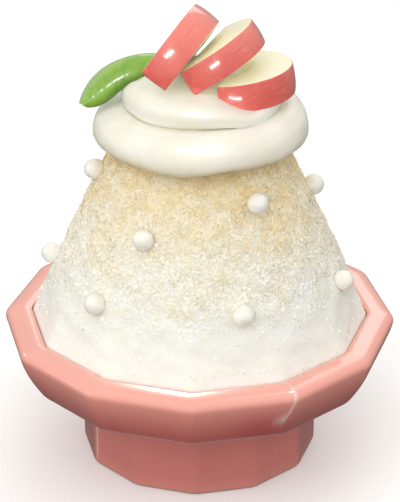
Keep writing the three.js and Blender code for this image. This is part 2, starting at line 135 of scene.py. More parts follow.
# Apple slices
SLICE_RADIUS = 20.9
SLICE_SKIN_BULGE = 0.4
SLICE_EDGE_ROUND = 0.4
CORE_HALF_LENGTH = 12.5
CORE_REACH = 7
CORE_DEPTH = 1.1
CORE_FLAT = 0.35
SLICES = [
    {"middle": (-9.4, -1.0, 160.7), "thickness": 10.9, "heading": 19.8, "tilt": 4.2, "roll": 56.3},
    {"middle": (4.1, 0.3, 159.3), "thickness": 9.9, "heading": 23.5, "tilt": 4.5, "roll": 33.4},
    {"middle": (14.3, 0.1, 150.9), "thickness": 10.8, "heading": 20.1, "tilt": -1.1, "roll": 7.8},
]

# Leaf
LEAF_RIB = [(-10, 4, 159), (-24.8, 3, 163), (-35.8, 3, 156.4), (-43.6, -3.2, 143.4)]
LEAF_FRONT_WIDTH = 10.1
LEAF_BACK_WIDTH = 7.8
LEAF_WIDEST = 0.47
LEAF_STALK_ROUND = 2
LEAF_TIP_ROUND = 4
LEAF_END_TRIM = 0.008
LEAF_FRONT_SLOPE = (5, 88)
LEAF_BACK_SLOPE = (-8, 31)
LEAF_BACK_TWIST = 15
LEAF_BACK_WAVE = 9

# Pearls
PEARL_RADIUS = 4
PEARL_STAND_OFF = 1.6
PEARL_SPOTS = [
    (17, 80.5), (72, 77), (33, 116), (95, 107), (126, 93), (150, 113), (170, 76),
    (193, 99), (218, 83), (228, 112), (266, 78), (273, 116), (317, 79), (333, 104.5),
]

# ---- surfaces, finer than the solids

# Glaze: shares of it that are thin or paled by painted light towards the rim, broken or lit by
# painted highlights, or darkened by painted shade, and the heights over which that changes
# painted light: the wall and lip pale towards the rim
GLAZE_WALL_PAINTED_LIGHT = {"share": 0.8, "heights": (38, 54)}
GLAZE_LIP_PAINTED_LIGHT = {"share": 0.2, "heights": (52, RIM_TOP)}
GLAZE_THIN_FOOT = {"share": 0.25, "heights": (BELLY_HEIGHT - 6, BELLY_HEIGHT - 1)}
GLAZE_THIN_FOOT_EDGE = {"share": 0.4, "heights": (0.6, 3)}
# painted highlight along the wall's lower edge, where the glaze also breaks pale
GLAZE_EDGE_HIGHLIGHT = {"share": 0.75, "height": WALL_FOOT[1] - 1, "spread": 0.6}
# Lines of painted highlight down two corners, where the glaze also broke pale, by the azimuths in
# degrees of their lower and upper ends
GLAZE_HIGHLIGHT_LINES = [
    {"azimuths": (-60.5, -60.5), "heights": (1, 31), "width": 0.5},
    {"azimuths": (24.0, 28.8), "heights": (36, 57.5), "width": 0.7},
]
GLAZE_HIGHLIGHT_SHARE = 0.6
GLAZE_HIGHLIGHT_FADE = 3  # over this much of each end
# Painted shade on the right-front facet, beside the second line; azimuth and spread are in degrees
GLAZE_FACET_SHADE = {
    "share": 0.45, "azimuth": 20, "spread": 10,
    "sets_in": (BELLY_HEIGHT - 1, BELLY_HEIGHT + 2), "fades_out": (42, 54),
}
GLAZE_BELLY_TINT = (BELLY_HEIGHT - 4, BELLY_HEIGHT + 3)  # heights over which it fades upwards
BARE_CLAY = (0.2, 0.7)

# Ice: smooth at the foot of the heap and coarse higher up, stained from the top down
ICE_COARSE_HEIGHTS = (68, 88)
ICE_SMOOTH_SHARE = 0.2
ICE_LUMPS = {"depth": 0.18, "size": 5.5}
ICE_PEBBLES = [(0.45, 4.2, 1), (0.35, 2.0, 2)]  # depth, size and seed
ICE_PEBBLE_LEVEL = 0.8  # of their height, which lies on the plain surface
ICE_RELIEF_DROP = 0.25
ICE_EDGE = 3  # the relief is less this near the bowl and the top
ICE_EDGE_SHARE = 0.35
ICE_STAIN_HEIGHTS = (84, 131)
ICE_FLAKY_HEIGHTS = (72, 92)
# heights of a painted shadow at the top of the heap, under the cream
ICE_PAINTED_SHADOW_HEIGHTS = (122, 129)
ICE_PATCH_REACH = 11  # the stain's edge wanders up and down by this much
ICE_SPECKLE_REACH = 8
CORE_FLECK_SIZE = 1.3
CORE_LIGHT_DEPTH = 3

# Loose ice: least and most sizes, how far a shard tilts off the surface, and how high it lies
SHARDS = {
    "ice_flakes": {
        "count": 12000, "length": (1.2, 3.2), "width": (0.8, 1.9), "thickness": (0.2, 0.5),
        "tilt": 0.22, "lift": 0.04,
    },
    "ice_grains": {
        "count": 14000, "length": (0.6, 1.4), "width": (0.4, 1.0), "thickness": (0.3, 0.7),
        "tilt": 0.5, "lift": 0.02,
    },
}
SHARD_SHIFT = 0.4  # of its middle, along its length
SHARD_WOBBLE = 0.45  # of its corners, as a share of half its length and width
SHARD_UNEVEN = (0.7, 1.15)
SHARD_FLECK_SIZE = 0.8
SHARDS_LOW_DOWN = 0.05  # how densely they lie on the smooth foot of the heap
SHARD_SPAN = (ICE_BASE_HEIGHT + 1.0, ICE_TOP_HEIGHT - 1.5)
SHARD_PEARL_ROOM = 0.5

# Cream: a faint drag from the nozzle, soft swells, and an ivory painted shade in its crease and
# along its bottom
CREAM_DRAG = {"depth": 0.05, "waves": 1.9, "slant": 1.2, "waver": 0.8, "size": 9}
CREAM_SWELL = {"depth": 0.28, "size": 8}
CREAM_UNDERSIDE = (0.5, 2)  # heights over its bottom between which the relief sets in
CREAM_LIP_ROOM = 3
# painted shade in the crease under the upper turn and along the bottom
CREAM_PAINTED_SHADE = 0.7
CREAM_SHADE_CREASE = (0.1, 0.55)  # shares of the upper turn's lower curve
CREAM_SHADE_BOTTOM = 6.5

# Apple slices
SLICE_UNEVEN = 0.12
SLICE_UNEVEN_SIZE = 16
SKIN_STREAK_RADIUS = 4  # far less than the slice's, which draws them out
# heights over which painted light pales the skin
SKIN_PAINTED_LIGHT_HEIGHTS = (160, 182)
FLESH_CORE = (3, 10)  # radii over which the core's deeper colour fades
FLESH_LINE = (11.6, 12.3, 13.0)  # radii of the inside, middle and outside of a faint line
FLESH_RIM = (SLICE_RADIUS - 1.4, SLICE_RADIUS)

# Leaf: across it, 0 is the rib and 1 an edge
LEAF_RIB_WIDTH = 0.045
LEAF_RIB_DEPTH = 0.15
LEAF_RIB_KEEL = 0.25  # how far the rib stands out underneath
LEAF_VEINS = 9
LEAF_VEIN_SLANT = 0.22
LEAF_VEIN_CURVE = 0.8
LEAF_VEIN_WIDTH = 0.09
LEAF_VEIN_ENDS = (0.75, 0.98)
LEAF_VEIN_SHARE = 0.55
LEAF_VEIN_TINT = 0.25
LEAF_PUFF = 0.07
LEAF_PUFF_UNDER = 0.6
LEAF_HALF_THICKNESS = (0.30, 0.22)  # at the rib and at the edge
# painted sheen over the back half and painted shade along the front edge
LEAF_SHEEN_BACK = (-0.7, 0.35)
LEAF_SHADE_EDGE = (0.62, 0.98)
LEAF_SHADE_SHARE = 0.75

# Pearls
PEARL_SCALE = 0.985
PEARL_DENT = 0.05
PEARL_DENT_SIZE = 1.1

# Stage: a camera fitted to the photograph, a glowing floor in metres, and a sky paler upwards
CAMERA = {
    "target": (0.332, 0, 81.32), "distance": 934.96, "elevation": 26.148,
    "focal_pixels": 2448.8, "picture_height": 502, "clip": (0.05, 20),
}
FLOOR_REACH = 8
FLOOR_GLOW = 0.12
LIGHT_TARGET = (0, 0, 90)
SKY_COLOUR = (1.0, 0.99, 0.975, 1)
SKY_RAMP = {"From Min": -0.5, "From Max": 0.9, "To Min": 0.12, "To Max": 0.92}

# ---- points and meshes


def lerp(low, high, part):
    return low + (high - low) * part


def smoothstep(value, low, high):
    part = np.clip((value - low) / (high - low), 0, 1)
    return part * part * (3 - 2 * part)


def polar(radius, azimuth, z=0.0):
    """The points at these radii, azimuths and heights."""
    radius, azimuth, z = np.broadcast_arrays(radius, azimuth, z)
    return np.stack([radius * np.sin(azimuth), -radius * np.cos(azimuth), z], -1)


def cylindrical(points):
    """The radius, azimuth and height of each point."""
    x, y, z = np.moveaxis(points, -1, 0)
    return np.hypot(x, y), np.arctan2(x, -y), z


def curve(*points, steps):
    """Points along a Bezier curve of any degree, without its first point."""
    part = np.linspace(0, 1, steps + 1)[1:, None]
    layer = [np.asarray(point, float) + 0 * part for point in points]
    while len(layer) > 1:
        layer = [lerp(a, b, part) for a, b in zip(layer, layer[1:])]
    return layer[0]


def line(start, end, steps):
    return curve(start, end, steps=steps)


def unit(vectors):
    return vectors / np.linalg.norm(vectors, axis=-1, keepdims=True)


def noise_at(points, size, octaves=1, seed=0):
    """Smooth noise from about -1 to 1 at each point, with features of a size in millimetres."""
    shift = Vector((seed * 13.7, seed * 5.1, seed * 9.3))
    flat = points.reshape(-1, 3) / size
    values = [noise.fractal(Vector(p) + shift, 1.0, 2.1, octaves) for p in flat]
    return np.array(values).reshape(points.shape[:-1])


def pebbles_at(points, size, seed=0):
    """Rounded lumps of a size in millimetres: 1 in the middle of each, near 0 between them."""
    shift = Vector((seed * 3.1, seed * 7.7, seed * 1.9))
    flat = points.reshape(-1, 3) / size
    nearest = [noise.voronoi(Vector(p) + shift)[0][0] for p in flat]
    return 1 - np.clip(np.array(nearest).reshape(points.shape[:-1]), 0, 1) ** 2


def loft(first_pole, rings, last_pole):
    """A closed surface through rings of equally many points, shut by a fan at each end.

    Rings run anticlockwise seen from the last pole, so that the faces point out."""
    rings = np.asarray(rings, float)
    rows, columns = rings.shape[:2]
    points = np.vstack([[first_pole], rings.reshape(-1, 3), [last_pole]])
    at = 1 + np.arange(rows * columns).reshape(rows, columns)
    turned = np.roll(at, -1, axis=1)
    quads = np.stack([at[:-1], turned[:-1], turned[1:], at[1:]], -1).reshape(-1, 4)
    first = [[0, after, here] for here, after in zip(at[0].tolist(), turned[0].tolist())]
    last_index = len(points) - 1
    last = [[here, after, last_index] for here, after in zip(at[-1].tolist(), turned[-1].tolist())]
    return points, [*first, *quads.tolist(), *last]


def add_object(name, data):
    made = bpy.data.objects.new(name, data)
    bpy.context.scene.collection.objects.link(made)
    return made


def add_piece(name, points, faces, materials, nodes=(), values=None):
    """A smooth-shaded piece on the object's one body.

    nodes are the solids it stands for, and values the numbers or vectors that its material reads
    at each vertex, by name."""
    mesh = bpy.data.meshes.new(name)
    mesh.from_pydata((np.asarray(points) * MM).tolist(), [], faces)
    for material in materials:
        mesh.materials.append(material)
    mesh.shade_smooth()
    for key, numbers in (values or {}).items():
        numbers = np.asarray(numbers, np.float32)
        kind, field = ("FLOAT", "value") if numbers.ndim == 1 else ("FLOAT_VECTOR", "vector")
        mesh.attributes.new(key, kind, "POINT").data.foreach_set(field, numbers.ravel())
    piece = add_object(name, mesh)
    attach(piece, "root")
    if nodes:
        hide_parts(*nodes)
    return piece


def vertex_normals(points, faces):
    """The normals of the smooth surface at its points."""
    mesh = bpy.data.meshes.new("normals")
    mesh.from_pydata(points.tolist(), [], faces)
    normals = np.zeros(len(points) * 3, np.float32)
    mesh.vertex_normals.foreach_get("vector", normals)
    bpy.data.meshes.remove(mesh)
    return normals.reshape(-1, 3).astype(float)


# ---- node materials


def linear(srgb):
    """An sRGB colour from 0 to 255 as the shader's linear one."""
    parts = [c / 12.92 if c <= 0.04045 else ((c + 0.055) / 1.055) ** 2.4
             for c in (part / 255 for part in srgb)]
    return (*parts, 1.0)


class Paint:
    """A material round one Principled shader, and the few kinds of node that colour it.

    place names a piece's own coordinates, in metres, where the material follows those, and body
    is the colour laid so far."""

    def __init__(self, name, place=None, **sockets):
        self.material = bpy.data.materials.new(name)
        self.material.use_nodes = True
        self.tree = self.material.node_tree
        self.shader = self.tree.nodes["Principled BSDF"]
        self.body = None
        for socket, value in sockets.items():
            title = socket.replace("_", " ").title().replace("Ior", "IOR")
            self.shader.inputs[title].default_value = value
        if place:
            self.place = self.node("ShaderNodeAttribute", attribute_name=place).outputs["Vector"]
        else:
            self.place = self.node("ShaderNodeTexCoord").outputs["Object"]

    def node(self, kind, inputs=None, **settings):
        made = self.tree.nodes.new(kind)
        for key, value in settings.items():
            setattr(made, key, value)
        for key, value in (inputs or {}).items():
            if isinstance(value, bpy.types.NodeSocket):
                self.tree.links.new(value, made.inputs[key])
            else:
                made.inputs[key].default_value = value
        return made

    def link(self, output, socket):
        self.tree.links.new(output, self.shader.inputs[socket])

    def noise(self, size, detail=2.0, roughness=0.5, distortion=0.0, place=None):
        """Noise from 0 to 1 with features of a size in millimetres."""
        inputs = {"Vector": place or self.place, "Scale": 1 / (size * MM), "Detail": detail,
                  "Roughness": roughness, "Distortion": distortion}
        return self.node("ShaderNodeTexNoise", inputs).outputs["Fac"]

    def cells(self, size):
        """The distance to the nearest of scattered points, about a size in millimetres apart."""
        inputs = {"Vector": self.place, "Scale": 1 / (size * MM)}
        return self.node("ShaderNodeTexVoronoi", inputs).outputs["Distance"]

    def value(self, name):
        """A number that the piece carries at each vertex."""
        return self.node("ShaderNodeAttribute", attribute_name=name).outputs["Fac"]

    def axis(self, name, place=None):
        """One coordinate of the place, in metres."""
        inputs = {"Vector": place or self.place}
        return self.node("ShaderNodeSeparateXYZ", inputs).outputs[name]

    def math(self, operation, a, b):
        return self.node("ShaderNodeMath", {0: a, 1: b}, operation=operation).outputs[0]

    def fit(self, value, low, high, to_low=0.0, to_high=1.0, smooth=True):
        """The value carried from one range to another, held at its ends."""
        inputs = {"Value": value, "From Min": low, "From Max": high,
                  "To Min": to_low, "To Max": to_high}
        kind = "SMOOTHSTEP" if smooth else "LINEAR"
        return self.node("ShaderNodeMapRange", inputs, interpolation_type=kind).outputs["Result"]

    def rise(self, length, span, to_low=0.0, to_high=1.0):
        """fit() for a length in metres over a span in millimetres."""
        return self.fit(length, span[0] * MM, span[1] * MM, to_low, to_high)

    def mix(self, share, a, b):
        """Two colours mixed by a share; each is a socket or an sRGB colour from 0 to 255."""
        made = self.node("ShaderNodeMix", data_type="RGBA")
        self.tree.links.new(share, made.inputs[0])
        for socket, value in ((made.inputs[6], a), (made.inputs[7], b)):
            if isinstance(value, bpy.types.NodeSocket):
                self.tree.links.new(value, socket)
            else:
                socket.default_value = linear(value)
        return made.outputs[2]

    def drift(self, noise, dark, light, spread=0.2):
        """A colour that drifts with the noise, which takes it this far from halfway to either."""
        return self.mix(self.fit(noise, 0.5 - spread, 0.5 + spread), dark, light)

    def lay(self, share, shade):
        """Lay a colour over the body by a share."""
        self.body = self.mix(share, self.body, shade)

    def scatter(self, weight, radius, depth):
        """Light strays under the surface, to a depth in millimetres, further for some colours."""
        for socket, value in (("Weight", weight), ("Radius", radius), ("Scale", depth * MM)):
            self.shader.inputs[f"Subsurface {socket}"].default_value = value

    def rough(self, size, detail, least, most, spread=0.2):
        """A roughness that drifts over patches of a size in millimetres."""
        patches = self.fit(self.noise(size, detail), 0.5 - spread, 0.5 + spread, least, most)
        self.link(patches, "Roughness")

    def bump(self, height, depth, below=None):
        """Fine relief of a depth in millimetres, on top of another bump if one is given."""
        inputs = {"Height": height, "Distance": depth * MM, "Strength": 1.0}
        if below is not None:
            inputs["Normal"] = below
        return self.node("ShaderNodeBump", inputs).outputs["Normal"]

    def finish(self, relief):
        """The material, with its body's colour and its fine relief."""
        self.link(self.body, "Base Color")
        self.link(relief, "Normal")
        return self.material


def glaze_material():
    """A thick salmon glaze: peach where it is thin and where painted light pales it towards the
    rim, nearly white where it broke and along painted highlights, darker where painted shade lies
    on the right-front facet, with bare clay under the foot."""
    paint = Paint("salmon_glaze", roughness=0.24, coat_weight=0.6, coat_roughness=0.05)
    paint.body = paint.drift(paint.noise(26, 3), (215, 106, 98), (224, 113, 104), 0.15)
    paint.lay(paint.rise(paint.axis("Z"), GLAZE_BELLY_TINT, 1.0, 0.0), (205, 109, 104))
    # painted light: the thin share also pales the wall and lip towards the rim
    paint.lay(paint.value("thin_glaze_and_painted_light"), (242, 170, 154))
    # painted shade: a darker red over the right-front facet
    paint.lay(paint.value("painted_facet_shade"), (188, 58, 66))
    # painted highlights along an edge and two corners, with glaze broken pale there
    paint.lay(paint.value("broken_glaze_and_highlight"), (255, 232, 222))
    paint.lay(paint.fit(paint.noise(1.6, 4), 0.3, 0.8, 0.0, 0.06), (236, 172, 158))
    clay = paint.mix(paint.noise(0.7, 3), (206, 176, 158), (226, 201, 184))
    paint.lay(paint.rise(paint.axis("Z"), BARE_CLAY, 1.0, 0.0), clay)
    paint.rough(14, 2, 0.20, 0.26, spread=0.3)
    waves = paint.bump(paint.noise(11, 1), 0.05)
    return paint.finish(paint.bump(paint.noise(0.9), 0.004, below=waves))


def ice_material(name, fleck_size, light_depth=0.0):
    """Packed shaved ice: milky white with brownish flecks, stained by syrup from the top down in
    uneven patches, with a painted shadow in a band under the cream.

    light_depth is how far light strays under its surface, in millimetres."""
    paint = Paint(name, roughness=0.42, ior=1.31)
    paint.scatter(0.5 if light_depth else 0.0, (1.0, 0.9, 0.75), light_depth)
    height = paint.axis("Z")
    for noise, reach in (
        (paint.noise(13, 4), ICE_PATCH_REACH * MM),
        (paint.noise(3.4, 3, 0.65), ICE_SPECKLE_REACH * MM),
    ):
        height = paint.math("ADD", height, paint.fit(noise, 0.3, 0.7, -reach, reach, False))
    stained = paint.rise(height, ICE_STAIN_HEIGHTS)
    flaky = paint.rise(height, ICE_FLAKY_HEIGHTS)
    bright = paint.noise(2.6, 3)
    smooth_ice = paint.drift(bright, (250, 248, 235), (253, 252, 243), 0.15)
    flaky_ice = paint.drift(bright, (252, 247, 231), (255, 252, 240), 0.15)
    syrup = paint.drift(paint.noise(4.5, 3), (246, 224, 172), (253, 237, 198), 0.15)
    paint.body = paint.mix(stained, paint.mix(flaky, smooth_ice, flaky_ice), syrup)
    shade = paint.fit(paint.noise(3.2, 4, 0.65, 0.8), 0.50, 0.68, 0.0, 0.4)
    paint.lay(paint.math("MULTIPLY", shade, flaky), (222, 214, 184))
    flecks = paint.fit(paint.noise(fleck_size, 2, 0.5, 1.0), 0.58, 0.68)
    clusters = paint.fit(paint.noise(10), 0.46, 0.62, 0.05, 0.5)
    gathered = paint.math("MULTIPLY", flecks, clusters)
    paint.lay(paint.math("MULTIPLY", gathered, flaky), (196, 178, 138))
    # painted shadow: a darker brownish band at the top of the heap, under the cream
    paint.lay(paint.rise(paint.axis("Z"), ICE_PAINTED_SHADOW_HEIGHTS, 0.0, 0.7), (216, 194, 146))
    paint.rough(1.1, 1, 0.30, 0.6)
    return paint.finish(paint.bump(paint.noise(0.45, 3, 0.6), 0.12))


def cream_material():
    """Whipped cream: satin, with an ivory painted shade in its crease and along its bottom, and a
    few tiny pits where bubbles broke.
    """
    paint = Paint("whipped_cream", roughness=0.38)
    paint.scatter(0.5, (1.0, 0.85, 0.6), 3.5)
    paint.body = paint.drift(paint.noise(14, 3), (240, 236, 222), (246, 243, 231))
    # painted shade: ivory in the crease and along the bottom
    paint.lay(paint.value("painted_shade"), (226, 215, 180))
    paint.rough(4, 3, 0.28, 0.42)
    silk = paint.bump(paint.noise(1.8, 3), 0.06)
    pits = paint.fit(paint.cells(2.6), 0.04, 0.13)
    return paint.finish(paint.bump(pits, 0.10, below=silk))


def skin_material():
    """Waxy coral apple skin: streaks from stem to blossom end, pale pores, and painted light that
    makes it paler high up.
    """
    paint = Paint("apple_skin", "slice_place", roughness=0.22, coat_weight=0.8, coat_roughness=0.08)
    angle = paint.math("ARCTAN2", paint.axis("Y"), paint.axis("X"))
    streaked = {"X": paint.math("MULTIPLY", angle, SKIN_STREAK_RADIUS * MM), "Z": paint.axis("Z")}
    streaked = paint.node("ShaderNodeCombineXYZ", streaked).outputs[0]
    upright = paint.node("ShaderNodeTexCoord").outputs["Object"]
    paint.body = paint.drift(paint.noise(12), (228, 98, 90), (240, 115, 103))
    # painted light: paler and pinker high up
    painted_light_high = paint.rise(paint.axis("Z", upright), SKIN_PAINTED_LIGHT_HEIGHTS, 0.0, 0.6)
    paint.lay(painted_light_high, (252, 150, 134))
    light_streaks = paint.noise(0.9, 3, 0.6, place=streaked)
    paint.lay(paint.fit(light_streaks, 0.5, 0.72, 0.0, 0.28), (252, 160, 138))
    dark_streaks = paint.noise(1.5, place=streaked)
    paint.lay(paint.fit(dark_streaks, 0.52, 0.75, 0.0, 0.18), (214, 78, 74))
    paint.lay(paint.fit(paint.cells(2.1), 0.07, 0.13, 0.55, 0.0), (250, 200, 170))
    paint.rough(5, 2, 0.15, 0.25)
    return paint.finish(paint.bump(paint.noise(2.6), 0.012))


def flesh_material():
    """Moist apple flesh: cream-yellow and finely grained, deeper round the core and the skin."""
    paint = Paint("apple_flesh", "slice_place", roughness=0.5, specular_ior_level=0.3)
    paint.scatter(0.35, (1.0, 0.8, 0.4), 2)
    x, y = paint.axis("X"), paint.axis("Y")
    squares = paint.math("ADD", paint.math("MULTIPLY", x, x), paint.math("MULTIPLY", y, y))
    radius = paint.math("POWER", squares, 0.5)
    paint.body = paint.drift(paint.noise(0.6, 3, 0.6), (254, 246, 212), (255, 251, 228))
    paint.lay(paint.rise(radius, FLESH_CORE, 0.35, 0.0), (244, 231, 184))
    inner, middle, outer = FLESH_LINE
    line_inside = paint.rise(radius, (inner, middle), 0.0, 0.3)
    line_outside = paint.rise(radius, (middle, outer), 1.0, 0.0)
    paint.lay(paint.math("MULTIPLY", line_inside, line_outside), (232, 226, 168))
    paint.lay(paint.rise(radius, FLESH_RIM, 0.0, 0.5), (250, 226, 160))
    paint.rough(1.5, 2, 0.42, 0.56)
    return paint.finish(paint.bump(paint.noise(0.7), 0.012))


def leaf_material():
    """A waxy fresh leaf, finely quilted: pale ribs, a painted sheen over its back half and painted
    shade along its front edge.
    """
    paint = Paint("fresh_leaf", roughness=0.32, coat_weight=0.35, coat_roughness=0.12)
    paint.scatter(0.12, (0.5, 1.0, 0.3), 0.6)
    paint.body = paint.drift(paint.noise(6, 3), (122, 168, 42), (144, 188, 66))
    # painted sheen: the back half paler and bluer
    paint.lay(paint.value("painted_sheen_back"), (176, 206, 142))
    # painted shade: dark green along the front edge, where it rolls under
    paint.lay(paint.value("painted_shade_front"), (62, 100, 26))
    paint.lay(paint.fit(paint.cells(0.9), 0.1, 0.6, 0.0, 0.15), (100, 142, 46))
    paint.lay(paint.value("vein"), (190, 214, 126))
    paint.rough(2, 2, 0.26, 0.4)
    return paint.finish(paint.bump(paint.noise(0.8), 0.05))


def pearl_material():
    """Boiled rice dough: dense, smooth and slightly moist."""
    paint = Paint("rice_dough", roughness=0.34, coat_weight=0.15, coat_roughness=0.2)
    paint.scatter(0.5, (1.0, 0.9, 0.75), 1.5)
    paint.body = paint.drift(paint.noise(3, 3), (246, 240, 229), (252, 248, 240))
    paint.rough(1.5, 2, 0.26, 0.42)
    return paint.finish(paint.bump(paint.noise(0.7), 0.04))


# ---- bowl


def sided_ring(radius, z, arc_points, flat_points):
    """A ring of the bowl's twelve-sided shape, its corners rounded by short arcs."""
    corner_round = min(BOWL_CORNER_ROUND, radius / 2)
    hub = radius - corner_round / math.cos(HALF_SIDE)
    ring = []
    for side in range(BOWL_SIDES):
        corner = BOWL_TURN + side * 2 * HALF_SIDE
        turns = corner + np.linspace(-HALF_SIDE, HALF_SIDE, arc_points)
        arc = polar(hub, corner, z) + polar(corner_round, turns)
        next_start = polar(hub, corner + 2 * HALF_SIDE, z) + polar(corner_round, corner + HALF_SIDE)
        flat = line(arc[-1], next_start, flat_points + 1)[:-1]
        ring += [arc, flat]
    return np.vstack(ring)


def rounded(ring, fade):
    """The ring with its corners faded out into a circle over them, fade from 0 to 1."""
    radii = cylindrical(ring)[0]
    ring = ring.copy()
    ring[:, :2] *= lerp(1, radii.max() / radii, fade)[:, None]
    return ring


def cavity_outline(gap=0.0):
    """The cavity as [radius, height] points from its floor's middle up to the rim."""
    steps = 6
    floor = CAVITY_FLOOR + gap
    well = CAVITY_WELL_RADIUS - gap
    well_side = (well, CAVITY_FLOOR + CAVITY_WELL_ROUND)
    throat = (CAVITY_THROAT[0] - gap, CAVITY_THROAT[1])
    shelf = (CAVITY_SHELF[0] - gap, CAVITY_SHELF[1] + gap)
    wall = (CAVITY_WALL[0] - gap, CAVITY_WALL[1])
    top = (RIM_RADIUS - RIM_WIDTH - gap, ICE_BASE_HEIGHT)
    return np.vstack([
        [(0, floor)],
        line((0, floor), (well - CAVITY_WELL_ROUND, floor), 2),
        curve((well - CAVITY_WELL_ROUND, floor), (well, floor), well_side, steps=steps),
        curve(well_side, throat, shelf, steps=steps),
        curve(shelf, wall, top, steps=steps),
    ])


def glaze_shares(points):
    """How thin the glaze is, with painted light up the wall, how broken, with painted highlights,
    and how darkened by painted shade, at each point of the bowl.
    """
    radius, azimuth, z = cylindrical(points)

    # painted light: paler up the wall and over the lip; thinner glaze towards the foot's bottom
    low, high = GLAZE_WALL_PAINTED_LIGHT["heights"]
    thin_or_lit = GLAZE_WALL_PAINTED_LIGHT["share"] * np.clip((z - low) / (high - low), 0, 1)
    thin_or_lit += GLAZE_LIP_PAINTED_LIGHT["share"] * smoothstep(z, *GLAZE_LIP_PAINTED_LIGHT["heights"])
    for foot in (GLAZE_THIN_FOOT, GLAZE_THIN_FOOT_EDGE):
        thin_or_lit += foot["share"] * (1 - smoothstep(z, *foot["heights"]))

    # painted highlight, with glaze broken pale: a line along the wall's lower edge and lines down
    # two corners
    edge = (z - GLAZE_EDGE_HIGHLIGHT["height"]) / GLAZE_EDGE_HIGHLIGHT["spread"]
    broken_and_highlit = GLAZE_EDGE_HIGHLIGHT["share"] * np.exp(-edge ** 2) * (radius > BELLY_RADIUS)
    for streak in GLAZE_HIGHLIGHT_LINES:
        low, high = streak["heights"]
        middle = lerp(*streak["azimuths"], np.clip((z - low) / (high - low), 0, 1))
        off = radius * (azimuth - np.radians(middle))
        ends = smoothstep(z, low, low + GLAZE_HIGHLIGHT_FADE)
        ends *= 1 - smoothstep(z, high - GLAZE_HIGHLIGHT_FADE, high)
        across = np.exp(-(off / streak["width"]) ** 2)
        broken_and_highlit = np.maximum(broken_and_highlit, GLAZE_HIGHLIGHT_SHARE * across * ends)

    # painted shade over the right-front facet
    off = (np.degrees(azimuth) - GLAZE_FACET_SHADE["azimuth"]) / GLAZE_FACET_SHADE["spread"]
    facet_shade = GLAZE_FACET_SHADE["share"] * np.exp(-off ** 2) * (radius > BELLY_RADIUS)
    facet_shade *= smoothstep(z, *GLAZE_FACET_SHADE["sets_in"]) * (1 - smoothstep(z, *GLAZE_FACET_SHADE["fades_out"]))
    return {"thin_glaze_and_painted_light": np.clip(thin_or_lit, 0, 1), "broken_glaze_and_highlight": broken_and_highlit, "painted_facet_shade": facet_shade}


def bowl():
    rim_in = RIM_RADIUS - RIM_WIDTH
    fillet_width, fillet_height = BELLY_FILLET
    recess_radius, recess_depth = FOOT_RECESS
    foot_side = (FOOT_RADIUS, BELLY_HEIGHT - fillet_height)
    belly_in = (FOOT_RADIUS + fillet_width, BELLY_HEIGHT)
    belly_out = (BELLY_RADIUS, BELLY_HEIGHT)
    wall_top = (RIM_RADIUS, RIM_TOP - LIP_DROP)
    crown_out = (RIM_RADIUS - LIP_REACH, RIM_TOP)
    crown_in = (rim_in + RIM_CROWN_END[0], RIM_TOP - RIM_CROWN_END[1])
    inner_corner = (rim_in, RIM_TOP - RIM_INNER_CORNER)
    outline = np.vstack([
        line((0, recess_depth), FOOT_RECESS, 4),
        curve(FOOT_RECESS, (recess_radius + FOOT_RECESS_FLARE, 0), (FOOT_RING_INSIDE, 0), steps=5),
        line((FOOT_RING_INSIDE, 0), (FOOT_RADIUS - FOOT_ROUND, 0), 2),
        curve((FOOT_RADIUS - FOOT_ROUND, 0), (FOOT_RADIUS, 0), (FOOT_RADIUS, FOOT_ROUND), steps=8),
        line((FOOT_RADIUS, FOOT_ROUND), foot_side, 6),
        curve(foot_side, (FOOT_RADIUS, BELLY_HEIGHT), belly_in, steps=7),
        line(belly_in, belly_out, 3),
        curve(belly_out, (WALL_TURN_RADIUS, BELLY_HEIGHT), WALL_FOOT, steps=20),
        curve(WALL_FOOT, WALL_BULGE, wall_top, steps=14),
        curve(wall_top, (RIM_RADIUS, RIM_TOP), crown_out, steps=14),
        curve(crown_out, (rim_in + RIM_CROWN_EASE, RIM_TOP), crown_in, steps=5),
        curve(crown_in, inner_corner, (rim_in, RIM_TOP - RIM_INNER_DROP), steps=4),
        cavity_outline()[1:][::-1],
    ])
    rings = [sided_ring(r, z, arc_points=13, flat_points=5) for r, z in outline]
    points, faces = loft((0, 0, recess_depth), rings, (0, 0, CAVITY_FLOOR))
    add_piece("glazed_bowl", points, faces, [glaze_material()], ["bowl"],
              values=glaze_shares(points))


# ---- ice


def ice_radius(z):
    rise = z - ICE_BASE_HEIGHT
    part = rise / (ICE_TOP_HEIGHT - ICE_BASE_HEIGHT)
    return ICE_BASE_RADIUS - ICE_TAPER * rise + 4 * ICE_SIDE_BULGE * part * (1 - part)


def ice_relief(azimuth, z):
    """Soft lumps in the heap, none where it meets the bowl or the cream."""
    lumps = sum(
        depth * np.sin(waves * azimuth + twist * z + phase)
        for depth, waves, twist, phase in ICE_WAVES
    )
    fade = smoothstep(z - ICE_BASE_HEIGHT, *ICE_RELIEF_FOOT)
    fade *= smoothstep(z - ICE_TOP_HEIGHT, -ICE_RELIEF_HEAD[1], -ICE_RELIEF_HEAD[0])
    return ICE_RELIEF * lumps * fade


def pearl_centre(spot):
    azimuth, z = math.radians(spot[0]), spot[1]
    lean = math.atan(ICE_TAPER)
    radius = ice_radius(z) + PEARL_STAND_OFF * math.cos(lean)
    return polar(radius, azimuth, z + PEARL_STAND_OFF * math.sin(lean))


